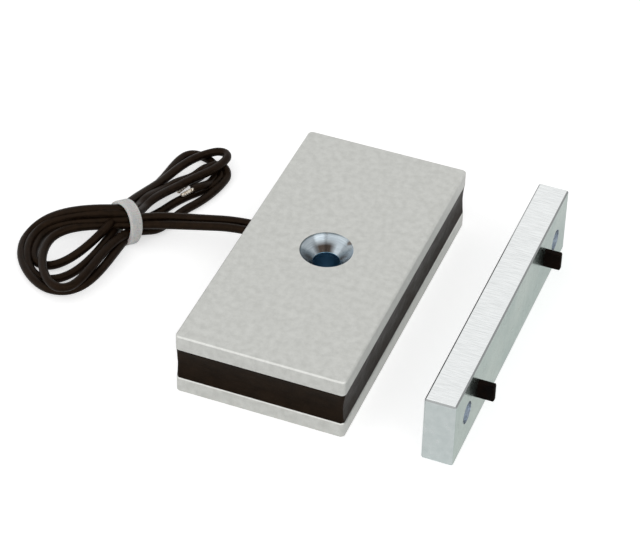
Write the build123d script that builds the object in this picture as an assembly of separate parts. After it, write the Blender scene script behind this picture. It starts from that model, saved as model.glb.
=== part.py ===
from build123d import *
import os
from math import cos, pi, radians, sin, tan

# A small surface electromagnetic lock, in millimetres: a potted electromagnet with its two leads
# folded into a tied hank, and the loose strike plate that it holds.
# The origin is on the axis of the mounting bore, in the plane of the magnet's lower face.
# +Y runs along the magnet, +X points to the strike plate and +Z is up.

# Magnet body
magnet_width = 38.1
magnet_length = 76.2
upper_plate_thickness = 4.0
lower_plate_thickness = 4.0
winding_window = 7.6
plate_corner_radius = 1.0
plate_edge_break = 0.3

# Mounting bore, for a flat head screw
bore_diameter = 6.0
countersink_diameter = 11.7
countersink_angle = 82.0

# Core and coil between the plates
core_width = 13.0
core_length = 48.0
core_corner_radius = 3.0
former_clearance = 0.1
former_wall = 0.8
former_flange_thickness = 0.8
former_flange_overhang = 1.0
winding_build = 4.6
tape_thickness = 0.3

# Potting compound that fills the window
potting_setback = 0.12
potting_corner_break = 0.6
meniscus_depth = 0.35

# Leads and the joints where they meet the coil's ends
lead_diameter = 2.0
lead_1_y = 8.3
lead_2_y = 10.8
tail_diameter = 0.5
solder_diameter = 1.3
solder_length = 2.2
sleeve_wall = 0.2
sleeve_length = 4.6
sleeve_lead_overlap = 1.4
bare_end_diameter = 1.0
bare_end_1 = ((-40.6, 25.6, 2.2), (-44.8, 20.3, 2.2))
bare_end_2 = ((-40.9, 23.2, 2.2), (-43.7, 19.9, 2.2))

# Hank: two flat lobes and the long-sided waist where the tie holds eight strands together.
# The waist dips towards the far lobe and its long way leans, because the tie's head lies under it.
waist_x = -49.6
waist_y = 2.95
waist_direction = 64.0
waist_dip = 17.0
waist_lean = 60.0
waist_width = 8.4
waist_height = 6.4
waist_behind = 5.0
waist_ahead = 7.0
tie_width = 3.0
tie_thickness = 1.0
tie_head_length = 4.6
tie_head_width = 4.0
tie_head_height = 2.8
tie_head_shift = -1.0
tie_edge_break = 0.4
tie_clearance = 0.1
tie_space_size = 20.0
hank_height = 4.0
hank_edge_break = 0.8

# Outline of each lobe and of its opening: the hull of circles, each as (x, y, radius)
near_lobe_circles = ((-64.6, -4.6, 7.0), (-63.5, -9.0, 8.0), (-55.5, -14.4, 7.8), (-52.0, -0.5, 4.6))
near_opening_circles = ((-61.5, -9.4, 1.7), (-61.0, -5.4, 1.5), (-55.0, -3.6, 1.2))
far_lobe_circles = ((-40.4, 34.8, 5.5), (-43.4, 30.0, 7.0), (-46.4, 18.0, 6.0), (-44.0, 16.5, 4.8), (-47.6, 8.2, 4.6))
far_opening_circles = ((-41.3, 29.6, 1.8), (-45.4, 17.6, 1.6))

# Strike plate, set apart from the magnet and parallel to it
strike_gap = 16.7
strike_offset = 0.9
strike_thickness = 6.9
strike_height = 16.6
strike_length = 76.2
strike_edge_break = 0.35
strike_hole_spacing = 60.0
strike_hole_diameter = 5.0
strike_countersink_diameter = 9.6
pad_reach = 3.7
pad_width = 1.2
pad_height = 4.2
pad_level = 9.2
pad_front_offset = 23.1
pad_rear_offset = 22.4
pad_edge_break = 0.2

# Sizes that follow
magnet_height = lower_plate_thickness + winding_window + upper_plate_thickness
window_middle = lower_plate_thickness + winding_window / 2
window_top = lower_plate_thickness + winding_window
countersink_depth = (countersink_diameter - bore_diameter) / 2 / tan(radians(countersink_angle / 2))
former_inner_width = core_width + 2 * former_clearance
former_inner_length = core_length + 2 * former_clearance
winding_inner_width = former_inner_width + 2 * former_wall
winding_inner_length = former_inner_length + 2 * former_wall
winding_outer_width = winding_inner_width + 2 * winding_build
winding_outer_length = winding_inner_length + 2 * winding_build
winding_height = winding_window - 2 * former_flange_thickness
tape_outer_width = winding_outer_width + 2 * tape_thickness
tape_outer_length = winding_outer_length + 2 * tape_thickness
former_outer_width = tape_outer_width + 2 * former_flange_overhang
former_outer_length = tape_outer_length + 2 * former_flange_overhang
former_corner_radius = core_corner_radius + former_clearance
winding_inner_radius = former_corner_radius + former_wall
winding_outer_radius = winding_inner_radius + winding_build
tape_outer_radius = winding_outer_radius + tape_thickness
flange_outer_radius = tape_outer_radius + former_flange_overhang
tie_outer_width = waist_width + 2 * tie_thickness
tie_outer_height = waist_height + 2 * tie_thickness
strike_near_face = magnet_width / 2 + strike_gap
strike_back_face = strike_near_face + strike_thickness


def rounded_bar(width, length, height, corner_radius, base):
    """Upright block with rounded vertical corners, standing on the level `base`."""
    outline = RectangleRounded(width, length, corner_radius)
    return Pos(0, 0, base) * extrude(outline, height)


def rod(diameter, start, length, direction):
    """Round bar from the point `start` along `direction`."""
    plane = Plane(origin=start, z_dir=direction)
    return extrude(plane * Circle(diameter / 2), length)


def pole_plate(thickness, base):
    """Flat steel plate of the magnet's outline, with its edges broken."""
    plate = rounded_bar(magnet_width, magnet_length, thickness, plate_corner_radius, base)
    rims = plate.edges().group_by(Axis.Z)
    return chamfer(rims[0] + rims[-1], plate_edge_break)


def upper_pole_plate():
    plate = pole_plate(upper_plate_thickness, window_top)
    bore = rod(bore_diameter, (0, 0, 0), magnet_height, (0, 0, 1))
    cone = Cone(bore_diameter / 2, countersink_diameter / 2, countersink_depth)
    return plate - bore - Pos(0, 0, magnet_height - countersink_depth / 2) * cone


def lower_pole_plate():
    return pole_plate(lower_plate_thickness, 0) - rod(bore_diameter, (0, 0, 0), magnet_height, (0, 0, 1))


def core_block():
    block = rounded_bar(core_width, core_length, winding_window, core_corner_radius, lower_plate_thickness)
    return block - rod(bore_diameter, (0, 0, 0), magnet_height, (0, 0, 1))


def ring_bar(inner, outer, height, base):
    """Upright rounded frame between two (width, length, corner radius) outlines."""
    return rounded_bar(*outer[:2], height, outer[2], base) - rounded_bar(*inner[:2], height, inner[2], base)


def coil_former():
    """Moulded bobbin: a sleeve over the core with a flange against each plate."""
    inner = (former_inner_width, former_inner_length, former_corner_radius)
    sleeve_outer = (winding_inner_width, winding_inner_length, winding_inner_radius)
    flange_outer = (former_outer_width, former_outer_length, flange_outer_radius)
    former = ring_bar(inner, sleeve_outer, winding_window, lower_plate_thickness)
    former += ring_bar(inner, flange_outer, former_flange_thickness, lower_plate_thickness)
    former += ring_bar(inner, flange_outer, former_flange_thickness, window_top - former_flange_thickness)
    return former


def coil_winding():
    inner = (winding_inner_width, winding_inner_length, winding_inner_radius)
    outer = (winding_outer_width, winding_outer_length, winding_outer_radius)
    return ring_bar(inner, outer, winding_height, lower_plate_thickness + former_flange_thickness)


def winding_tape():
    inner = (winding_outer_width, winding_outer_length, winding_outer_radius)
    outer = (tape_outer_width, tape_outer_length, tape_outer_radius)
    tape = ring_bar(inner, outer, winding_height, lower_plate_thickness + former_flange_thickness)
    for lead_y in (lead_1_y, lead_2_y):
        tape -= coil_tail(lead_y)
    return tape


# Each coil end runs straight out to its solder joint, which a sleeve covers together with the
# stripped end of the lead.
tail_start = -winding_outer_width / 2
sleeve_start = -tape_outer_width / 2 - former_clearance
sleeve_end = sleeve_start - sleeve_length
lead_start = sleeve_end + sleeve_lead_overlap
solder_start = lead_start + solder_length
outward = (-1, 0, 0)


def coil_tail(lead_y):
    return rod(tail_diameter, (tail_start, lead_y, window_middle), tail_start - solder_start, outward)


def solder_joint(lead_y):
    return rod(solder_diameter, (solder_start, lead_y, window_middle), solder_length, outward)


def joint_sleeve(lead_y):
    start = (sleeve_start, lead_y, window_middle)
    sleeve = rod(lead_diameter + 2 * sleeve_wall, start, sleeve_length, outward)
    return sleeve - rod(lead_diameter, start, sleeve_length, outward)


# Route of each lead from its joint to the tied waist of the hank
lead_1_route = [
    (lead_start, lead_1_y, window_middle),
    (-24.0, lead_1_y, window_middle),
    (-34.0, 6.6, 6.4),
    (-45.5, 4.6, 4.8),
]
lead_2_route = [
    (lead_start, lead_2_y, window_middle),
    (-24.0, lead_2_y, window_middle),
    (-34.5, 8.9, 6.6),
    (-46.6, 6.3, 5.9),
]


def route_radii(route):
    """Arc radius at each inner point: as large as its two runs allow."""
    radii = []
    for before, point, after in zip(route, route[1:], route[2:]):
        run_in = Vector(*point) - Vector(*before)
        run_out = Vector(*after) - Vector(*point)
        half_turn = radians(run_in.get_angle(run_out)) / 2
        radii.append(0.45 * min(run_in.length, run_out.length) / tan(half_turn))
    return radii


def lead_run(name, route):
    """Round tube along straight runs joined by tangent arcs, up to the hank."""
    radii = route_radii(route)
    path = FilletPolyline(*route, radius=radii)
    start_plane = Plane(origin=route[0], z_dir=Vector(*route[1]) - Vector(*route[0]))
    tube = sweep(start_plane * Circle(lead_diameter / 2), path=path)
    section = pi * lead_diameter**2 / 4
    print(name, "radii", [round(radius, 1) for radius in radii])
    print(name, "length", round(path.length, 2), "volume share", round(tube.volume / section / path.length, 4))
    return tube - lead_hank()


# The tied waist's place and lean. Its level lets the tie's rounded end just reach the floor.
dip = radians(waist_dip)
lean = radians(waist_lean)
turn = radians(waist_direction)
waist_vector = (cos(turn) * cos(dip), sin(turn) * cos(dip), -sin(dip))
across_vector = (sin(turn), -cos(turn), 0)
tie_end_drop = (tie_outer_width - tie_outer_height) / 2 * sin(lean) + tie_outer_height / 2
waist_level = tie_end_drop * cos(dip) + tie_width / 2 * sin(dip)
waist_plane = Plane(origin=(waist_x, waist_y, waist_level), x_dir=across_vector, z_dir=waist_vector)
waist_frame = waist_plane.location * Rot(0, 0, waist_lean)


def lobe(outer_circles, opening_circles):
    """Flat loop of strands on the floor, its outline and its opening drawn round circles."""
    outlines = []
    for circles in (outer_circles, opening_circles):
        rings = [Pos(x, y) * Circle(radius).edge() for x, y, radius in circles]
        outlines.append(make_hull(rings))
    block = extrude(outlines[0], hank_height)
    block = chamfer(block.edges().group_by(Axis.Z)[-1], hank_edge_break)
    return block - extrude(outlines[1], hank_height)


def lead_hank():
    """Outer shape of the folded leads: two flat lobes, open in the middle, and the tied waist."""
    flat = lobe(near_lobe_circles, near_opening_circles) + lobe(far_lobe_circles, far_opening_circles)
    tie_space = Box(tie_space_size, tie_space_size, tie_width + 2 * tie_clearance)
    flat -= waist_frame * tie_space
    flat -= tie_head(tie_clearance)
    section = SlotOverall(waist_width, waist_height)
    waist = Pos(0, 0, -waist_behind) * extrude(section, waist_behind + waist_ahead)
    return split(flat + waist_frame * waist, bisect_by=Plane.XY, keep=Keep.TOP)


def tie_head(clearance):
    """Block for the tie's ratchet head on the waist's hidden side, before the waist shapes it."""
    head = Box(
        tie_head_length + 2 * clearance,
        tie_head_height + tie_thickness + 2 * clearance,
        tie_head_width + 2 * clearance,
    )
    middle = waist_height / 2 + (tie_head_height - tie_thickness) / 2
    return waist_frame * (Pos(tie_head_shift, middle, 0) * head)


def lead_tie():
    """Nylon cable tie: a band round the waist and its ratchet head, with the tail cut flush."""
    head = chamfer(tie_head(0).edges(), tie_edge_break)
    band = extrude(SlotOverall(tie_outer_width, tie_outer_height), tie_width / 2, both=True)
    waist_core = extrude(SlotOverall(waist_width, waist_height), tie_head_width, both=True)
    return waist_frame * band + head - waist_frame * waist_core


def bare_end(start, tip):
    """Stripped and tinned end of a lead, out of the hank's inner wall."""
    direction = Vector(*tip) - Vector(*start)
    return rod(bare_end_diameter, start, direction.length, direction) - lead_hank()


def strike_plate():
    """Flat steel bar with two screw holes, countersunk on the face that meets the magnet."""
    bar = Box(strike_thickness, strike_length, strike_height)
    bar = chamfer(bar.edges(), strike_edge_break)
    bar = Pos(strike_near_face + strike_thickness / 2, strike_offset, strike_height / 2) * bar
    sink_depth = (strike_countersink_diameter - strike_hole_diameter) / 2
    for side in (-1, 1):
        hole_y = strike_offset + side * strike_hole_spacing / 2
        start = (strike_near_face, hole_y, strike_height / 2)
        bar -= rod(strike_hole_diameter, start, strike_thickness, (1, 0, 0))
        sink_plane = Plane(origin=start, z_dir=(1, 0, 0)).offset(sink_depth / 2)
        bar -= sink_plane * Cone(strike_countersink_diameter / 2, strike_hole_diameter / 2, sink_depth)
    return bar


def strike_pad(pad_y):
    """Small rubber block bonded to the back of the strike plate."""
    pad = Box(pad_reach, pad_width, pad_height)
    pad = chamfer(pad.faces().sort_by(Axis.X)[-1].edges(), pad_edge_break)
    return Pos(strike_back_face + pad_reach / 2, pad_y, pad_level) * pad


def potting():
    """Epoxy that fills the window round the coil, with a shallow meniscus along each side."""
    width = magnet_width - 2 * potting_setback
    length = magnet_length - 2 * potting_setback
    block = Pos(0, 0, window_middle) * Box(width, length, winding_window)
    block = chamfer(block.edges().filter_by(Axis.Z), potting_corner_break)
    radius = ((winding_window / 2) ** 2 + meniscus_depth**2) / (2 * meniscus_depth)
    reach = radius - meniscus_depth
    for side in (-1, 1):
        along = rod(2 * radius, (side * (width / 2 + reach), -length, window_middle), 2 * length, (0, 1, 0))
        across = rod(2 * radius, (-width, side * (length / 2 + reach), window_middle), 2 * width, (1, 0, 0))
        block -= along + across
    flange = (former_outer_width, former_outer_length, flange_outer_radius)
    block -= rounded_bar(*flange[:2], winding_window, flange[2], lower_plate_thickness)
    between = winding_window - 2 * former_flange_thickness
    base = lower_plate_thickness + former_flange_thickness
    tape = (tape_outer_width, tape_outer_length, tape_outer_radius)
    block += ring_bar(tape, flange, between, base)
    for lead_y in (lead_1_y, lead_2_y):
        block -= rod(lead_diameter + 2 * sleeve_wall, (sleeve_start, lead_y, window_middle), sleeve_length, outward)
        block -= rod(lead_diameter, (sleeve_end, lead_y, window_middle), magnet_width / 2, outward)
        block -= rod(tail_diameter, (-tape_outer_width / 2, lead_y, window_middle), former_clearance, outward)
    return block


parts = {
    "upper_pole_plate": upper_pole_plate(),
    "lower_pole_plate": lower_pole_plate(),
    "core_block": core_block(),
    "coil_former": coil_former(),
    "coil_winding": coil_winding(),
    "winding_tape": winding_tape(),
    "potting": potting(),
    "lead_1_coil_tail": coil_tail(lead_1_y),
    "lead_2_coil_tail": coil_tail(lead_2_y),
    "lead_1_solder_joint": solder_joint(lead_1_y),
    "lead_2_solder_joint": solder_joint(lead_2_y),
    "lead_1_joint_sleeve": joint_sleeve(lead_1_y),
    "lead_2_joint_sleeve": joint_sleeve(lead_2_y),
    "lead_1_run": lead_run("lead_1_run", lead_1_route),
    "lead_2_run": lead_run("lead_2_run", lead_2_route),
    "lead_hank": lead_hank(),
    "lead_1_bare_end": bare_end(*bare_end_1),
    "lead_2_bare_end": bare_end(*bare_end_2),
    "lead_tie": lead_tie(),
    "strike_plate": strike_plate(),
    "strike_pad_front": strike_pad(strike_offset - pad_front_offset),
    "strike_pad_rear": strike_pad(strike_offset + pad_rear_offset),
}

os.makedirs("parts", exist_ok=True)
for name, shape in parts.items():
    export_step(shape, f"parts/{name}.step")
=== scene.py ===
import bpy
import bmesh
from math import atan2, cos, radians, sin, tau
from mathutils import Matrix, Quaternion, Vector
from mathutils.geometry import interpolate_bezier


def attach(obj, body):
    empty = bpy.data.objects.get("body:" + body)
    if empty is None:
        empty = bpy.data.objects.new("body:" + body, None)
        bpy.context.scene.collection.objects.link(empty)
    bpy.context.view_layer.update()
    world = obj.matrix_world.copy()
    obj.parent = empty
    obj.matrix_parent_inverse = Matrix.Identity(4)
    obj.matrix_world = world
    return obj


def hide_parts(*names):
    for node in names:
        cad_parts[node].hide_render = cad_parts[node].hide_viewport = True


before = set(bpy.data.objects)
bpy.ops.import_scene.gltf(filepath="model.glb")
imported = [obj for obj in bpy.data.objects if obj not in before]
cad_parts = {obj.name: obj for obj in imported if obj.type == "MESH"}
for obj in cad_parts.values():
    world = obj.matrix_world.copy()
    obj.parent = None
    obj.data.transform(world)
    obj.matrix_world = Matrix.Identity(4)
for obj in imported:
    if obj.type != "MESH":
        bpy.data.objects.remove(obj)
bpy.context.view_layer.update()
bpy.ops.object.select_all(action="DESELECT")


# Camera at the photograph's angle: beyond the magnet's -Y end and a little towards the strike plate,
# looking down at 41 degrees, with a long lens and a slight tilt.
camera_azimuth = radians(20.62)
camera_elevation = radians(40.7)
camera_tilt = radians(1.4)
camera_place = (0.1477, -0.3961, 0.3708)
camera_back = Vector((
    sin(camera_azimuth) * cos(camera_elevation),
    -cos(camera_azimuth) * cos(camera_elevation),
    sin(camera_elevation),
))
camera_data = bpy.data.cameras.new("camera")
camera_data.sensor_width = 36.0
camera_data.lens = 143.6
camera_data.clip_start = 0.01
camera_data.clip_end = 20.0
camera = bpy.data.objects.new("camera", camera_data)
bpy.context.collection.objects.link(camera)
camera.rotation_mode = "QUATERNION"
camera.rotation_quaternion = (-camera_back).to_track_quat("-Z", "Y") @ Quaternion((0, 0, 1), camera_tilt)
camera.location = camera_place
bpy.context.scene.camera = camera
bpy.context.scene.view_settings.view_transform = "Standard"


# Studio: a pale floor and a pale surround that the camera and the glossy metal see as white,
# while the floor still takes the object's shadow.
def new_material(name):
    """New node material, with the nodes and links of its Principled shader and output."""
    material = bpy.data.materials.new(name)
    material.use_nodes = True
    return material, material.node_tree.nodes, material.node_tree.links


def add_node(nodes, kind, **settings):
    """Node of one kind, with properties set by name."""
    node = nodes.new(kind)
    for key, value in settings.items():
        setattr(node, key, value)
    return node


def seen_directly(nodes, links):
    """1 where a camera, glossy or transmission ray looks, otherwise 0."""
    path = nodes.new("ShaderNodeLightPath")
    either = add_node(nodes, "ShaderNodeMath", operation="MAXIMUM")
    links.new(path.outputs["Is Camera Ray"], either.inputs[0])
    links.new(path.outputs["Is Glossy Ray"], either.inputs[1])
    all_three = add_node(nodes, "ShaderNodeMath", operation="MAXIMUM")
    links.new(either.outputs[0], all_three.inputs[0])
    links.new(path.outputs["Is Transmission Ray"], all_three.inputs[1])
    return all_three.outputs[0]


floor_size = 6.0
floor_glow_for_camera = 0.55
floor_glow_for_metal = 0.34
surround_as_light = 0.55
surround_as_seen = 1.0
bpy.ops.mesh.primitive_plane_add(size=floor_size, location=(0, 0, 0))
floor = bpy.context.object
floor.name = "studio_floor"
floor_material, nodes, links = new_material("studio_floor_paper")
nodes.remove(nodes["Principled BSDF"])
paper = nodes.new("ShaderNodeBsdfDiffuse")
paper.inputs["Color"].default_value = (0.8, 0.8, 0.8, 1)
glow = nodes.new("ShaderNodeEmission")
glow.inputs["Color"].default_value = (1, 1, 1, 1)
path = nodes.new("ShaderNodeLightPath")
for_camera = add_node(nodes, "ShaderNodeMath", operation="MULTIPLY")
for_camera.inputs[1].default_value = floor_glow_for_camera
links.new(path.outputs["Is Camera Ray"], for_camera.inputs[0])
for_metal = add_node(nodes, "ShaderNodeMath", operation="MULTIPLY_ADD")
for_metal.inputs[1].default_value = floor_glow_for_metal
links.new(path.outputs["Is Glossy Ray"], for_metal.inputs[0])
links.new(for_camera.outputs[0], for_metal.inputs[2])
links.new(for_metal.outputs[0], glow.inputs["Strength"])
both = nodes.new("ShaderNodeAddShader")
links.new(paper.outputs[0], both.inputs[0])
links.new(glow.outputs[0], both.inputs[1])
links.new(both.outputs[0], nodes["Material Output"].inputs["Surface"])
floor.data.materials.append(floor_material)

world = bpy.data.worlds.new("studio")
bpy.context.scene.world = world
world.use_nodes = True
nodes, links = world.node_tree.nodes, world.node_tree.links
surround = nodes["Background"]
level = add_node(nodes, "ShaderNodeMix", data_type="FLOAT")
level.inputs["A"].default_value = surround_as_light
level.inputs["B"].default_value = surround_as_seen
links.new(seen_directly(nodes, links), level.inputs["Factor"])
links.new(level.outputs["Result"], surround.inputs["Strength"])
surround.inputs["Color"].default_value = (1, 1, 1, 1)

for name, place, size, power in (
    ("lamp_left", (-0.55, -0.9, 0.6), 1.8, 6.0),
    ("lamp_right", (0.9, -0.6, 0.9), 0.9, 3.0),
):
    lamp_data = bpy.data.lights.new(name, "AREA")
    lamp_data.size = size
    lamp_data.energy = power
    lamp = bpy.data.objects.new(name, lamp_data)
    bpy.context.collection.objects.link(lamp)
    lamp.location = place
    lamp.rotation_mode = "QUATERNION"
    lamp.rotation_quaternion = Vector(place).to_track_quat("Z", "Y")


# Pole plates: two cold rolled steel plates, blanked, tumbled and zinc plated to a matte grey with a
# fine cloudy grain. They clamp the coil between them. Only the upper one is countersunk, with a
# turned cone that stayed bright.
def place_in_piece(nodes):
    """The piece's own coordinates, in metres."""
    return nodes.new("ShaderNodeTexCoord").outputs["Object"]


def noise_in_piece(nodes, links, scale, stretch=(1, 1, 1), detail=3.0, roughness=0.55):
    """Noise of `scale` features a metre, packed closer by `stretch` along each axis."""
    packed = nodes.new("ShaderNodeMapping")
    packed.inputs["Scale"].default_value = stretch
    links.new(place_in_piece(nodes), packed.inputs["Vector"])
    noise = nodes.new("ShaderNodeTexNoise")
    noise.inputs["Scale"].default_value = scale
    noise.inputs["Detail"].default_value = detail
    noise.inputs["Roughness"].default_value = roughness
    links.new(packed.outputs["Vector"], noise.inputs["Vector"])
    return noise.outputs["Fac"]


def spread(nodes, links, value, low, high, out_low=0.0, out_high=1.0):
    """Stretch `value` from low..high to out_low..out_high, clamped."""
    mapped = nodes.new("ShaderNodeMapRange")
    for socket, number in (("From Min", low), ("From Max", high), ("To Min", out_low), ("To Max", out_high)):
        mapped.inputs[socket].default_value = number
    links.new(value, mapped.inputs["Value"])
    return mapped.outputs["Result"]


def calculate(nodes, links, operation, first, second):
    """Result of one Math node; `second` is another socket or a plain number."""
    result = add_node(nodes, "ShaderNodeMath", operation=operation)
    links.new(first, result.inputs[0])
    if isinstance(second, (int, float)):
        result.inputs[1].default_value = second
    else:
        links.new(second, result.inputs[1])
    return result.outputs[0]


def two_tone(nodes, links, factor, first, second):
    """Colour that goes from `first` to `second` with the factor; each is a colour or a socket."""
    blend = add_node(nodes, "ShaderNodeMix", data_type="RGBA")
    links.new(factor, blend.inputs[0])
    for socket, colour in ((blend.inputs[6], first), (blend.inputs[7], second)):
        if isinstance(colour, tuple):
            socket.default_value = (*colour, 1)
        else:
            links.new(colour, socket)
    return blend.outputs[2]


def relief(nodes, links, shader, height, depth):
    """Surface relief of `depth` metres from a height factor."""
    bump = nodes.new("ShaderNodeBump")
    bump.inputs["Distance"].default_value = depth
    links.new(height, bump.inputs["Height"])
    links.new(bump.outputs["Normal"], shader.inputs["Normal"])


def paint(links, shader, colour, rough):
    """Give a shader its colour and its roughness."""
    links.new(colour, shader.inputs["Base Color"])
    links.new(rough, shader.inputs["Roughness"])


def dress(material, *node_names):
    """Give CAD pieces their finished material."""
    for node_name in node_names:
        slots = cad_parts[node_name].data.materials
        slots.clear()
        slots.append(material)


def zinc_plating(name, dark, light, rough_low, rough_high, metallic, grain_share):
    """Plated steel with soft clouds about 1.5 mm across and a fine grain over them."""
    material, nodes, links = new_material(name)
    shader = nodes["Principled BSDF"]
    shader.inputs["Metallic"].default_value = metallic
    clouds = noise_in_piece(nodes, links, 650, detail=4.0)
    grain = noise_in_piece(nodes, links, 5200, detail=2.0)
    mottle = calculate(nodes, links, "ADD", clouds, calculate(nodes, links, "MULTIPLY", grain, grain_share))
    middle = 0.5 + grain_share / 2
    mottled = spread(nodes, links, mottle, middle - 0.2, middle + 0.2)
    colour = two_tone(nodes, links, mottled, dark, light)
    rough = spread(nodes, links, clouds, 0.3, 0.7, rough_low, rough_high)
    relief(nodes, links, shader, grain, 0.00002 * grain_share)
    return material, nodes, links, shader, colour, rough


def axis_of(nodes, links, axis):
    """One coordinate of the piece: 0 along X, 1 along Y, 2 along Z."""
    split = nodes.new("ShaderNodeSeparateXYZ")
    links.new(place_in_piece(nodes), split.inputs[0])
    return split.outputs[axis]


plate_dark = (0.52, 0.525, 0.50)
plate_light = (0.63, 0.635, 0.61)
cone_edge_radius = 0.00588
cone_roughness = 0.17
highlight_streak_heading = 6
dark_reflection_heading = 118
rim_shade_heading = 150
bore_edge_radius = 0.00303
bore_shade = (0.18, 0.34, 0.46)


def off_axis(nodes, links, operation):
    """Vector Math node on the part of the place that is square to the mounting axis."""
    flat = add_node(nodes, "ShaderNodeVectorMath", operation="MULTIPLY")
    flat.inputs[1].default_value = (1, 1, 0)
    links.new(place_in_piece(nodes), flat.inputs[0])
    result = add_node(nodes, "ShaderNodeVectorMath", operation=operation)
    links.new(flat.outputs["Vector"], result.inputs[0])
    return result


def towards(nodes, links, heading):
    """1 on the side of the mounting axis that lies at a heading in degrees, -1 opposite."""
    side = add_node(nodes, "ShaderNodeVectorMath", operation="DOT_PRODUCT")
    side.inputs[1].default_value = (cos(radians(heading)), sin(radians(heading)), 0)
    links.new(off_axis(nodes, links, "NORMALIZE").outputs["Vector"], side.inputs[0])
    return side.outputs["Value"]


def in_mounting_bore(nodes, links):
    """1 on the wall of the mounting bore."""
    from_axis = off_axis(nodes, links, "LENGTH").outputs["Value"]
    return calculate(nodes, links, "LESS_THAN", from_axis, bore_edge_radius)


upper_zinc, nodes, links, shader, colour, rough = zinc_plating(
    "upper_plate_zinc", plate_dark, plate_light, 0.42, 0.56, 0.9, 0.6
)
from_axis = off_axis(nodes, links, "LENGTH").outputs["Value"]
in_cone = calculate(nodes, links, "LESS_THAN", from_axis, cone_edge_radius)
turning = noise_in_piece(nodes, links, 16000, stretch=(0.02, 0.02, 1), detail=1.0)
smears = noise_in_piece(nodes, links, 420, detail=3.0)
turned = spread(nodes, links, turning, 0.35, 0.65)
cone_shine = two_tone(nodes, links, turned, (0.27, 0.31, 0.34), (0.40, 0.45, 0.48))
# Painted highlight: the cone is painted lighter in a narrow streak on one side of the mounting axis.
highlight_streak = spread(nodes, links, towards(nodes, links, highlight_streak_heading), 0.90, 0.99)
cone_colour = two_tone(nodes, links, highlight_streak, cone_shine, (0.60, 0.67, 0.73))
# Painted reflection: a dark brown patch on another side of the cone, stronger towards the bore, stands for a
# dark reflection.
dark_reflection_side = spread(nodes, links, towards(nodes, links, dark_reflection_heading), 0.75, 0.95)
dark_reflection_depth = spread(nodes, links, from_axis, 0.0050, 0.0040)
dark_reflection = calculate(nodes, links, "MULTIPLY", dark_reflection_side, dark_reflection_depth)
cone_colour = two_tone(nodes, links, dark_reflection, cone_colour, (0.035, 0.027, 0.022))
rim_side = spread(nodes, links, towards(nodes, links, rim_shade_heading), 0.0, 0.5)
rim_edge = spread(nodes, links, from_axis, 0.00555, 0.00575)
rim_shade = calculate(nodes, links, "MULTIPLY", rim_side, rim_edge)
cone_colour = two_tone(nodes, links, rim_shade, cone_colour, (0.10, 0.12, 0.13))
smeared = spread(nodes, links, smears, 0.66, 0.76)
cone_colour = two_tone(nodes, links, smeared, cone_colour, (0.16, 0.15, 0.14))
colour = two_tone(nodes, links, in_cone, colour, cone_colour)
colour = two_tone(nodes, links, in_mounting_bore(nodes, links), colour, bore_shade)
cone_rough = add_node(nodes, "ShaderNodeMix", data_type="FLOAT")
links.new(in_cone, cone_rough.inputs["Factor"])
links.new(rough, cone_rough.inputs["A"])
cone_rough.inputs["B"].default_value = cone_roughness
paint(links, shader, colour, cone_rough.outputs["Result"])
dress(upper_zinc, "upper_pole_plate")

lower_zinc, nodes, links, shader, colour, rough = zinc_plating(
    "lower_plate_zinc", plate_dark, plate_light, 0.40, 0.54, 0.9, 0.6
)
colour = two_tone(nodes, links, in_mounting_bore(nodes, links), colour, bore_shade)
paint(links, shader, colour, rough)
dress(lower_zinc, "lower_pole_plate")


# Core: a block of soft steel sawn from bar and milled, bare of plating. It carries the flux between
# the plates, and the mounting screw goes through it.
core_steel, nodes, links = new_material("core_milled_steel")
shader = nodes["Principled BSDF"]
shader.inputs["Metallic"].default_value = 1.0
cutter = noise_in_piece(nodes, links, 300, stretch=(1, 1, 30), detail=2.0)
oxide = noise_in_piece(nodes, links, 260, detail=4.0)
milled = spread(nodes, links, cutter, 0.35, 0.65)
bright = two_tone(nodes, links, milled, (0.34, 0.34, 0.35), (0.50, 0.50, 0.50))
colour = two_tone(nodes, links, spread(nodes, links, oxide, 0.55, 0.75), bright, (0.22, 0.17, 0.13))
colour = two_tone(nodes, links, in_mounting_bore(nodes, links), colour, bore_shade)
paint(links, shader, colour, spread(nodes, links, cutter, 0.3, 0.7, 0.30, 0.48))
relief(nodes, links, shader, cutter, 0.00002)
dress(core_steel, "core_block")


# Coil: a black nylon bobbin wound with enamelled copper wire in close turns, and three turns of
# amber polyester tape over it. All of it is cast into the epoxy.
bobbin, nodes, links = new_material("bobbin_black_nylon")
shader = nodes["Principled BSDF"]
mould = noise_in_piece(nodes, links, 4000, detail=2.0)
colour = two_tone(nodes, links, mould, (0.016, 0.016, 0.017), (0.035, 0.035, 0.036))
paint(links, shader, colour, spread(nodes, links, mould, 0.3, 0.7, 0.48, 0.62))
relief(nodes, links, shader, mould, 0.00001)
dress(bobbin, "coil_former")

wire_pitch = 0.00042
copper, nodes, links = new_material("enamelled_copper")
shader = nodes["Principled BSDF"]
shader.inputs["Metallic"].default_value = 1.0
shader.inputs["Coat Weight"].default_value = 0.6
turns = add_node(nodes, "ShaderNodeMath", operation="PINGPONG")
links.new(axis_of(nodes, links, 2), turns.inputs[0])
turns.inputs[1].default_value = wire_pitch / 2
crown = spread(nodes, links, turns.outputs[0], 0.0, wire_pitch / 2)
batch = noise_in_piece(nodes, links, 900, stretch=(0.3, 0.3, 4), detail=2.0)
wire = two_tone(nodes, links, batch, (0.46, 0.15, 0.05), (0.66, 0.25, 0.10))
# Painted shade: the copper is painted darker towards the groove between neighbouring turns.
colour = two_tone(nodes, links, crown, (0.12, 0.035, 0.015), wire)
paint(links, shader, colour, spread(nodes, links, batch, 0.3, 0.7, 0.22, 0.36))
relief(nodes, links, shader, crown, 0.00012)
dress(copper, "coil_winding", "lead_1_coil_tail", "lead_2_coil_tail")

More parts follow.
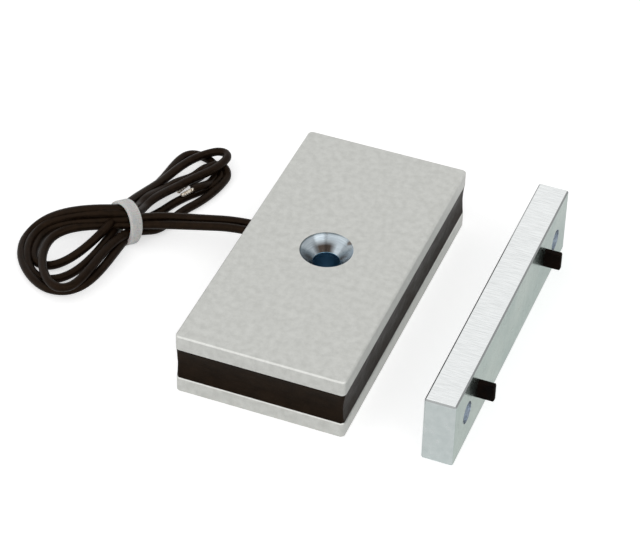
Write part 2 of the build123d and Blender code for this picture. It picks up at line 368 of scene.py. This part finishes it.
tape, nodes, links = new_material("amber_polyester_tape")
shader = nodes["Principled BSDF"]
wrinkle = noise_in_piece(nodes, links, 160, stretch=(1, 1, 6), detail=3.0)
colour = two_tone(nodes, links, wrinkle, (0.48, 0.27, 0.03), (0.72, 0.46, 0.08))
paint(links, shader, colour, spread(nodes, links, wrinkle, 0.3, 0.7, 0.18, 0.30))
relief(nodes, links, shader, wrinkle, 0.00004)
dress(tape, "winding_tape")


# Joints of the leads: each coil end is laid along the stripped lead, soldered, and covered with a
# piece of shrunk black tubing.
solder, nodes, links = new_material("dull_solder")
shader = nodes["Principled BSDF"]
shader.inputs["Metallic"].default_value = 1.0
frost = noise_in_piece(nodes, links, 3000, detail=3.0)
colour = two_tone(nodes, links, frost, (0.40, 0.40, 0.39), (0.66, 0.66, 0.64))
paint(links, shader, colour, spread(nodes, links, frost, 0.3, 0.7, 0.30, 0.50))
relief(nodes, links, shader, frost, 0.00003)
dress(solder, "lead_1_solder_joint", "lead_2_solder_joint")

sleeve, nodes, links = new_material("shrunk_tubing")
shader = nodes["Principled BSDF"]
ripple = noise_in_piece(nodes, links, 1400, stretch=(3, 1, 1), detail=2.0)
colour = two_tone(nodes, links, ripple, (0.012, 0.012, 0.012), (0.034, 0.034, 0.035))
paint(links, shader, colour, spread(nodes, links, ripple, 0.3, 0.7, 0.40, 0.55))
relief(nodes, links, shader, ripple, 0.00004)
dress(sleeve, "lead_1_joint_sleeve", "lead_2_joint_sleeve")


# Potting: black-brown epoxy poured into the window round the coil and cured. It shrank a little and
# wets both plates, so its sides are slightly hollow and satin.
epoxy, nodes, links = new_material("potting_black_epoxy")
shader = nodes["Principled BSDF"]
shader.inputs["Specular IOR Level"].default_value = 0.06
shader.inputs["Specular Tint"].default_value = (1.0, 0.80, 0.62, 1)
flow = noise_in_piece(nodes, links, 240, stretch=(1, 1, 1.6), detail=4.0)
filler = noise_in_piece(nodes, links, 6000, detail=2.0)
flowed = spread(nodes, links, flow, 0.3, 0.7)
base = two_tone(nodes, links, flowed, (0.0060, 0.0034, 0.0018), (0.0150, 0.0090, 0.0052))
specks = spread(nodes, links, filler, 0.66, 0.74)
colour = two_tone(nodes, links, specks, base, (0.036, 0.024, 0.016))
paint(links, shader, colour, spread(nodes, links, flow, 0.3, 0.7, 0.34, 0.50))
fine_part = calculate(nodes, links, "MULTIPLY", filler, 0.15)
relief(nodes, links, shader, calculate(nodes, links, "ADD", flow, fine_part), 0.00012)
dress(epoxy, "potting")


# Leads: two stranded copper wires in extruded black-brown PVC, 2 mm across. Each leaves the potting
# and goes through the tie into a wide loop on the -Y side, then back through it into a tight fold on
# the +Y side, and all of that once more, so that eight strands lie in the tied waist.
lead_diameter = 0.0020
waist_centre = Vector((-0.0496, 0.00295, 0.00519))
waist_heading = radians(64)
waist_dip = radians(17)
waist_lean = radians(60)
waist_axis = Vector((
    cos(waist_heading) * cos(waist_dip),
    sin(waist_heading) * cos(waist_dip),
    -sin(waist_dip),
))
waist_across = Vector((sin(waist_heading), -cos(waist_heading), 0))
waist_down = waist_axis.cross(waist_across)
waist_long_way = waist_across * cos(waist_lean) + waist_down * sin(waist_lean)
waist_hidden_way = waist_down * cos(waist_lean) - waist_across * sin(waist_lean)
strand_ring = (0.0032, 0.0022)
rise_to_wide_loops = 0.15
rise_to_tight_folds = -0.10
curve_samples = 60
point_spacing = 0.0014


def knot(x, y, z, heading, reach_in, reach_out):
    """Place in millimetres that a strand passes with a heading in degrees, and its pull each way."""
    return Vector((x, y, z)) / 1000, heading, reach_in / 1000, reach_out / 1000, 0


def tie_knot(turn, heading, reach_in, reach_out):
    """Where a strand passes the tie, at its turn round the sloping waist in degrees."""
    place = waist_centre + waist_long_way * strand_ring[0] * cos(radians(turn))
    place -= waist_hidden_way * strand_ring[1] * sin(radians(turn))
    climb = rise_to_tight_folds if heading < 180 else rise_to_wide_loops
    return place, heading, reach_in / 1000, reach_out / 1000, climb


def lead_route(exit_points, knots):
    """Points of one lead from its exit through all its loops, evenly spaced in the loops."""
    route = [Vector(point) / 1000 for point in exit_points] + [knots[0][0]]
    for before, after in zip(knots, knots[1:]):
        place, heading, _, reach, climb = before
        way = Vector((cos(radians(heading)), sin(radians(heading)), climb))
        next_place, next_heading, next_reach, _, next_climb = after
        next_way = Vector((cos(radians(next_heading)), sin(radians(next_heading)), next_climb))
        leave = place + way * reach
        arrive = next_place - next_way * next_reach
        for point in interpolate_bezier(place, leave, arrive, next_place, curve_samples):
            if (point - route[-1]).length >= point_spacing:
                route.append(point)
    route[-1] = knots[-1][0]
    return route


lead_1_exit = ((-15.6, 8.3, 7.8), (-24, 8.3, 7.8), (-34, 6.6, 6.4), (-42.5, 5.1, 5.2))
lead_1_knots = (
    knot(-48.2, 2.3, 5.4, 205, 2, 9),
    knot(-63.4, -8.4, 3.6, -89, 6.8, 6.2),
    knot(-53.8, -21.5, 3.8, 17, 3.7, 5.5),
    tie_knot(50, 62, 9.4, 5),
    knot(-46.9, 12.4, 1.0, 60, 5, 4),
    knot(-42.6, 21.6, 1.0, 58, 5, 3.5),
    knot(-38.3, 30.6, 1.0, 90, 4, 1.27),
    knot(-40.6, 32.9, 1.8, 180, 1.27, 0.98),
    knot(-42.8, 31.4, 1.9, 250, 0.98, 1.2),
    knot(-44.4, 28.0, 1.4, 238, 1.2, 2.0),
    knot(-47.0, 22.3, 2.4, 248, 2.5, 4),
    knot(-49.4, 11.5, 4.8, 262, 4, 2.5),
    tie_knot(160, 209, 2.5, 13),
    knot(-70.2, -5.9, 1.0, -88, 8.1, 7.7),
    knot(-56.4, -20.6, 1.6, 5, 4.7, 8.6),
    tie_knot(8, 88, 10.5, 4),
    knot(-43.6, 9.0, 1.0, 68, 3, 4),
    knot(-40.4, 18.4, 1.0, 62, 4, 4),
    knot(-37.0, 31.5, 1.0, 90, 5, 1.27),
    knot(-39.3, 33.8, 2.2, 180, 1.27, 0.85),
    knot(-41.3, 32.6, 2.4, 245, 0.85, 1.8),
    knot(-42.4, 28.5, 1.8, 247, 2.0, 1.3),
    knot(-43.8, 25.4, 1.8, 246, 1.3, 0),
)
lead_2_exit = ((-15.6, 10.8, 7.8), (-24, 10.8, 7.8), (-34.5, 8.9, 6.6), (-43, 7, 6.1))
lead_2_knots = (
    knot(-48.4, 2.9, 6.6, 209, 2, 11.4),
    knot(-66.8, -6.4, 1.4, -84, 7.8, 6.0),
    knot(-61.7, -13.1, 1.0, 17, 2.6, 5.4),
    tie_knot(225, 92, 8.6, 7),
    knot(-48.6, 25.0, 2.9, 77, 7, 5),
    knot(-42.3, 37.4, 2.8, 40, 5, 0.52),
    knot(-40.9, 37.9, 2.9, 0, 0.52, 1.2),
    knot(-38.7, 35.7, 3.2, 270, 1.2, 2.4),
    knot(-40.6, 28.8, 3.5, 242, 2.4, 2.2),
    knot(-44.0, 22.8, 3.6, 244, 2.2, 4),
    knot(-48.0, 11.3, 4.7, 260, 4, 2.5),
    tie_knot(128, 211, 2.5, 10.6),
    knot(-68.4, -6.7, 1.8, -86, 8.9, 4.6),
    knot(-59.2, -17.1, 1.0, 19, 5.0, 7.2),
    tie_knot(275, 92, 8.0, 7),
    knot(-50.1, 27.3, 1.4, 87, 7, 5),
    knot(-46.4, 36.8, 1.0, -4, 3.6, 3.6),
    knot(-39.6, 29.8, 1.0, 268, 4.5, 3),
    knot(-41.6, 22.4, 2.8, 236, 4, 0),
)
lead_1_route = lead_route(lead_1_exit, lead_1_knots)
lead_2_route = lead_route(lead_2_exit, lead_2_knots)


def make_lead(name, route):
    """Round lead along a smooth curve whose control points are the route's points."""
    curve = bpy.data.curves.new(name, "CURVE")
    curve.dimensions = "3D"
    curve.bevel_depth = lead_diameter / 2
    curve.bevel_resolution = 4
    curve.resolution_u = 6
    curve.use_fill_caps = True
    spline = curve.splines.new("NURBS")
    spline.points.add(len(route) - 1)
    for point, place in zip(spline.points, route):
        point.co = (*place, 1)
    spline.order_u = 3
    spline.use_endpoint_u = True
    lead = bpy.data.objects.new(name, curve)
    bpy.context.collection.objects.link(lead)
    return lead


def route_length(lead):
    """Length of a lead's smooth centre line."""
    line = lead.data.copy()
    line.bevel_depth = 0
    probe = bpy.data.objects.new("probe", line)
    mesh = bpy.data.meshes.new_from_object(probe)
    places = [vertex.co.copy() for vertex in mesh.vertices]
    bpy.data.objects.remove(probe)
    bpy.data.meshes.remove(mesh)
    bpy.data.curves.remove(line)
    return sum((after - before).length for before, after in zip(places, places[1:]))


lead_1 = make_lead("lead_1", lead_1_route)
lead_2 = make_lead("lead_2", lead_2_route)
pvc, nodes, links = new_material("lead_black_pvc")
shader = nodes["Principled BSDF"]
shader.inputs["Specular IOR Level"].default_value = 0.11
shader.inputs["Specular Tint"].default_value = (1.0, 0.70, 0.48, 1)
drawn = noise_in_piece(nodes, links, 700, detail=3.0)
chalk = noise_in_piece(nodes, links, 3600, detail=2.0)
drawn_out = spread(nodes, links, drawn, 0.3, 0.7)
tone = two_tone(nodes, links, drawn_out, (0.0030, 0.0015, 0.0008), (0.0120, 0.0064, 0.0034))
chalked = spread(nodes, links, chalk, 0.62, 0.78)
colour = two_tone(nodes, links, chalked, tone, (0.030, 0.018, 0.011))
paint(links, shader, colour, spread(nodes, links, drawn, 0.3, 0.7, 0.32, 0.46))
relief(nodes, links, shader, chalk, 0.00001)
for lead in (lead_1, lead_2):
    lead.data.materials.append(pvc)
    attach(lead, "root")
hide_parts("lead_1_run", "lead_hank")
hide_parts("lead_2_run")


# Bare ends: the stripped strands of each lead, twisted together and tinned, 1.0 mm across.
bare_end_diameter = 0.0010
bare_end_sides = 24
bare_end_sides_a_strand = 4
bare_end_groove_share = 0.86
bare_end_tip_share = 0.7
bare_end_twists = 14
bare_end_twist_angle = radians(24)


def bare_end(name, start, tip):
    """Twisted and tinned strands from `start` to `tip`, as a six-lobed rod that turns along its length."""
    way = Vector(tip) - Vector(start)
    step = way.length / bare_end_twists
    bpy.ops.mesh.primitive_circle_add(
        vertices=bare_end_sides, radius=bare_end_diameter / 2, fill_type="NGON", location=(0, 0, 0)
    )
    piece = bpy.context.object
    piece.name = name
    bpy.ops.object.mode_set(mode="EDIT")
    rim = bmesh.from_edit_mesh(piece.data)
    for index, vertex in enumerate(rim.verts):
        if index % bare_end_sides_a_strand == 0:
            vertex.co *= bare_end_groove_share
    bmesh.update_edit_mesh(piece.data)
    bpy.ops.mesh.select_all(action="SELECT")
    for _ in range(bare_end_twists):
        bpy.ops.mesh.extrude_region_move(TRANSFORM_OT_translate={"value": (0, 0, step)})
        bpy.ops.transform.rotate(value=bare_end_twist_angle, orient_axis="Z", center_override=(0, 0, 0))
    tip_scale = (bare_end_tip_share, bare_end_tip_share, 1)
    bpy.ops.transform.resize(value=tip_scale, center_override=(0, 0, 0))
    bpy.ops.mesh.select_all(action="SELECT")
    bpy.ops.mesh.normals_make_consistent(inside=False)
    bpy.ops.object.mode_set(mode="OBJECT")
    piece.rotation_mode = "QUATERNION"
    piece.rotation_quaternion = way.to_track_quat("Z", "Y")
    piece.location = start
    bpy.ops.object.transform_apply(location=True, rotation=True, scale=True)
    bpy.ops.object.shade_smooth_by_angle(angle=radians(50))
    piece.select_set(False)
    return piece


bare_end_2 = bare_end("lead_2_bare_strands", (-0.0415, 0.0225, 0.0028), (-0.0434, 0.0198, 0.0023))
bare_end_1 = bare_end("lead_1_bare_strands", (-0.0438, 0.0255, 0.0018), (-0.0450, 0.0216, 0.0015))
tinned, nodes, links = new_material("tinned_copper")
shader = nodes["Principled BSDF"]
shader.inputs["Metallic"].default_value = 1.0
tin = noise_in_piece(nodes, links, 2600, detail=3.0)
tin_patches = spread(nodes, links, tin, 0.4, 0.6)
colour = two_tone(nodes, links, tin_patches, (0.36, 0.28, 0.20), (0.80, 0.76, 0.68))
paint(links, shader, colour, spread(nodes, links, tin, 0.3, 0.7, 0.20, 0.36))
relief(nodes, links, shader, tin, 0.00002)
for piece in (bare_end_1, bare_end_2):
    piece.data.materials.append(tinned)
    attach(piece, "root")
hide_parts("lead_1_bare_end")
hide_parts("lead_2_bare_end")
for lead, route, strands in ((lead_1, lead_1_route, bare_end_1), (lead_2, lead_2_route, bare_end_2)):
    route_length(lead)


# Cable tie: a moulded nylon band drawn round the waist, with a toothed channel between two rails.
# Its tail goes through the ratchet head underneath and is cut off flush.
tie_width = 0.0030
tie_thickness = 0.0010
tie_rail = 0.0005
tie_channel_depth = 0.0002
tie_edge_break = 0.00008
tie_half_size = (0.0052, 0.0042)
tie_steps = 120
waist_matrix = Matrix.Translation(waist_centre) @ Matrix((
    (waist_long_way.x, waist_hidden_way.x, waist_axis.x),
    (waist_long_way.y, waist_hidden_way.y, waist_axis.y),
    (waist_long_way.z, waist_hidden_way.z, waist_axis.z),
)).to_4x4()

bpy.ops.mesh.primitive_cylinder_add(
    vertices=tie_steps, radius=1, depth=tie_width, end_fill_type="NOTHING", location=(0, 0, 0)
)
band = bpy.context.object
band.name = "tie_band"
bpy.ops.object.mode_set(mode="EDIT")
bpy.ops.mesh.select_all(action="SELECT")
bpy.ops.transform.resize(value=(tie_half_size[0], tie_half_size[1], 1), center_override=(0, 0, 0))
for level in (tie_width / 2 - tie_rail, tie_rail - tie_width / 2):
    bpy.ops.mesh.select_all(action="SELECT")
    bpy.ops.mesh.bisect(plane_co=(0, 0, level), plane_no=(0, 0, 1))
bpy.ops.mesh.select_all(action="DESELECT")
channel = bmesh.from_edit_mesh(band.data)
for face in channel.faces:
    middle = face.calc_center_median()
    turn = atan2(middle.y / tie_half_size[1], middle.x / tie_half_size[0]) % tau
    face.select = abs(middle.z) < tie_width / 2 - tie_rail and int(turn / tau * tie_steps) % 2 == 0
bmesh.update_edit_mesh(band.data)
bpy.ops.transform.shrink_fatten(value=-tie_channel_depth)
bpy.ops.object.mode_set(mode="OBJECT")
wall = band.modifiers.new("wall", "SOLIDIFY")
wall.thickness = tie_thickness - tie_channel_depth
wall.offset = -1
edge = band.modifiers.new("edge", "BEVEL")
edge.width = tie_edge_break
edge.segments = 2
edge.limit_method = "ANGLE"
edge.angle_limit = radians(50)
for name in ("wall", "edge"):
    bpy.ops.object.modifier_apply(modifier=name)
band.matrix_world = waist_matrix
bpy.ops.object.transform_apply(location=True, rotation=True, scale=True)
bpy.ops.object.shade_smooth_by_angle(angle=radians(35))
band.select_set(False)

head_size = (0.0046, 0.0028, 0.0040)
head_place = (-0.0010, 0.0046, 0)
head_edge_break = 0.0003
head_mouth_rim = 0.0007
head_mouth_depth = 0.0010
bpy.ops.mesh.primitive_cube_add(size=1, location=head_place, scale=head_size)
head = bpy.context.object
head.name = "tie_head"
bpy.ops.object.transform_apply(location=True, rotation=True, scale=True)
bpy.ops.object.mode_set(mode="EDIT")
bpy.ops.mesh.select_all(action="DESELECT")
ends = bmesh.from_edit_mesh(head.data)
for face in ends.faces:
    face.select = abs(face.normal.x) > 0.9
bmesh.update_edit_mesh(head.data)
bpy.ops.mesh.inset(thickness=head_mouth_rim, use_individual=True)
bpy.ops.transform.resize(value=(1, 0.8, 1), center_override=head_place)
bpy.ops.mesh.extrude_region_shrink_fatten(TRANSFORM_OT_shrink_fatten={"value": -head_mouth_depth})
bpy.ops.object.mode_set(mode="OBJECT")
edge = head.modifiers.new("edge", "BEVEL")
edge.width = head_edge_break
edge.segments = 3
edge.limit_method = "ANGLE"
edge.angle_limit = radians(50)
bpy.ops.object.modifier_apply(modifier="edge")
head.matrix_world = waist_matrix
bpy.ops.object.transform_apply(location=True, rotation=True, scale=True)
bpy.ops.object.shade_smooth_by_angle(angle=radians(35))
head.select_set(False)

nylon, nodes, links = new_material("tie_natural_nylon")
shader = nodes["Principled BSDF"]
shader.inputs["Subsurface Weight"].default_value = 0.15
shader.inputs["Subsurface Scale"].default_value = 0.0008
haze = noise_in_piece(nodes, links, 260, detail=2.0)
pores = noise_in_piece(nodes, links, 3200, detail=3.0)
milk = two_tone(nodes, links, spread(nodes, links, haze, 0.35, 0.65), (0.60, 0.62, 0.63), (0.76, 0.73, 0.69))
colour = two_tone(nodes, links, spread(nodes, links, pores, 0.5, 0.75), milk, (0.50, 0.50, 0.50))
paint(links, shader, colour, spread(nodes, links, pores, 0.3, 0.7, 0.40, 0.58))
relief(nodes, links, shader, pores, 0.00002)
for piece in (band, head):
    piece.data.materials.append(nylon)
    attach(piece, "root")
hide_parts("lead_tie")
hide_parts("lead_tie")


# Strike plate: a bar of flat steel with two countersunk holes, plated with bright zinc. The long
# edge that lies upwards was ground across after plating and is the brightest.
strike_zinc, nodes, links, shader, colour, rough = zinc_plating(
    "strike_bright_zinc", (0.50, 0.55, 0.545), (0.57, 0.615, 0.61), 0.20, 0.28, 1.0, 0.1
)
strike_top = 0.0166
strike_back = 0.0426
strike_edge_break = 0.00035
ground_skin = 0.00002
strike_hole_middle = (0.0009, 0.0083)
strike_hole_spacing = 0.060
strike_hole_radius = 0.00252
# Painted shade: the back face is painted a darker, greener grey, in broad clouds.
back_shade_clouds = noise_in_piece(nodes, links, 60, detail=2.0)
back_shade_spread = spread(nodes, links, back_shade_clouds, 0.35, 0.65)
back_face_shade = two_tone(nodes, links, back_shade_spread, (0.30, 0.385, 0.355), (0.40, 0.47, 0.43))
height = axis_of(nodes, links, 2)
ground = calculate(nodes, links, "GREATER_THAN", height, strike_top - ground_skin)
# Painted shade: a band about 0.35 mm deep on the edge break, just under the ground top face, is painted dark
# grey.
edge_break_shade = calculate(nodes, links, "GREATER_THAN", height, strike_top - strike_edge_break)
scratches = noise_in_piece(nodes, links, 2600, stretch=(0.10, 1.6, 1), detail=4.0, roughness=0.7)
shaded_back_face = calculate(nodes, links, "GREATER_THAN", axis_of(nodes, links, 0), strike_back)
colour = two_tone(nodes, links, shaded_back_face, colour, back_face_shade)
scratched = spread(nodes, links, scratches, 0.35, 0.65)
ground_colour = two_tone(nodes, links, scratched, (0.72, 0.74, 0.74), (0.88, 0.90, 0.90))
colour = two_tone(nodes, links, edge_break_shade, colour, (0.26, 0.27, 0.27))
colour = two_tone(nodes, links, ground, colour, ground_colour)
along = calculate(nodes, links, "SUBTRACT", axis_of(nodes, links, 1), strike_hole_middle[0])
from_middle = calculate(nodes, links, "ABSOLUTE", along, 0.0)
along = calculate(nodes, links, "SUBTRACT", from_middle, strike_hole_spacing / 2)
upward = calculate(nodes, links, "SUBTRACT", height, strike_hole_middle[1])
along_squared = calculate(nodes, links, "MULTIPLY", along, along)
upward_squared = calculate(nodes, links, "MULTIPLY", upward, upward)
off_hole = calculate(nodes, links, "ADD", along_squared, upward_squared)
in_hole = calculate(nodes, links, "LESS_THAN", off_hole, strike_hole_radius ** 2)
# Painted highlight: the walls of the two holes are painted a light bluish white, much lighter than the
# plating round them.
colour = two_tone(nodes, links, in_hole, colour, (0.86, 0.91, 0.97))
paint(links, shader, colour, rough)
relief(nodes, links, shader, calculate(nodes, links, "MULTIPLY", scratches, ground), 0.00001)
dress(strike_zinc, "strike_plate")


# Pads: two small blocks cut from brown-black rubber and glued to the back of the strike plate. They
# hold it off the door, so that it can tilt until it sits flat on the magnet.
rubber, nodes, links = new_material("pad_brown_rubber")
shader = nodes["Principled BSDF"]
shader.inputs["Specular IOR Level"].default_value = 0.05
crumb = noise_in_piece(nodes, links, 3000, detail=3.0)
bloom = noise_in_piece(nodes, links, 500, detail=3.0)
bloomed = spread(nodes, links, bloom, 0.35, 0.65)
worn = two_tone(nodes, links, bloomed, (0.0010, 0.0005, 0.0005), (0.0060, 0.0022, 0.0010))
crumbled = spread(nodes, links, crumb, 0.58, 0.75)
colour = two_tone(nodes, links, crumbled, worn, (0.012, 0.0055, 0.0035))
paint(links, shader, colour, spread(nodes, links, crumb, 0.3, 0.7, 0.55, 0.78))
relief(nodes, links, shader, crumb, 0.00004)
dress(rubber, "strike_pad_front", "strike_pad_rear")
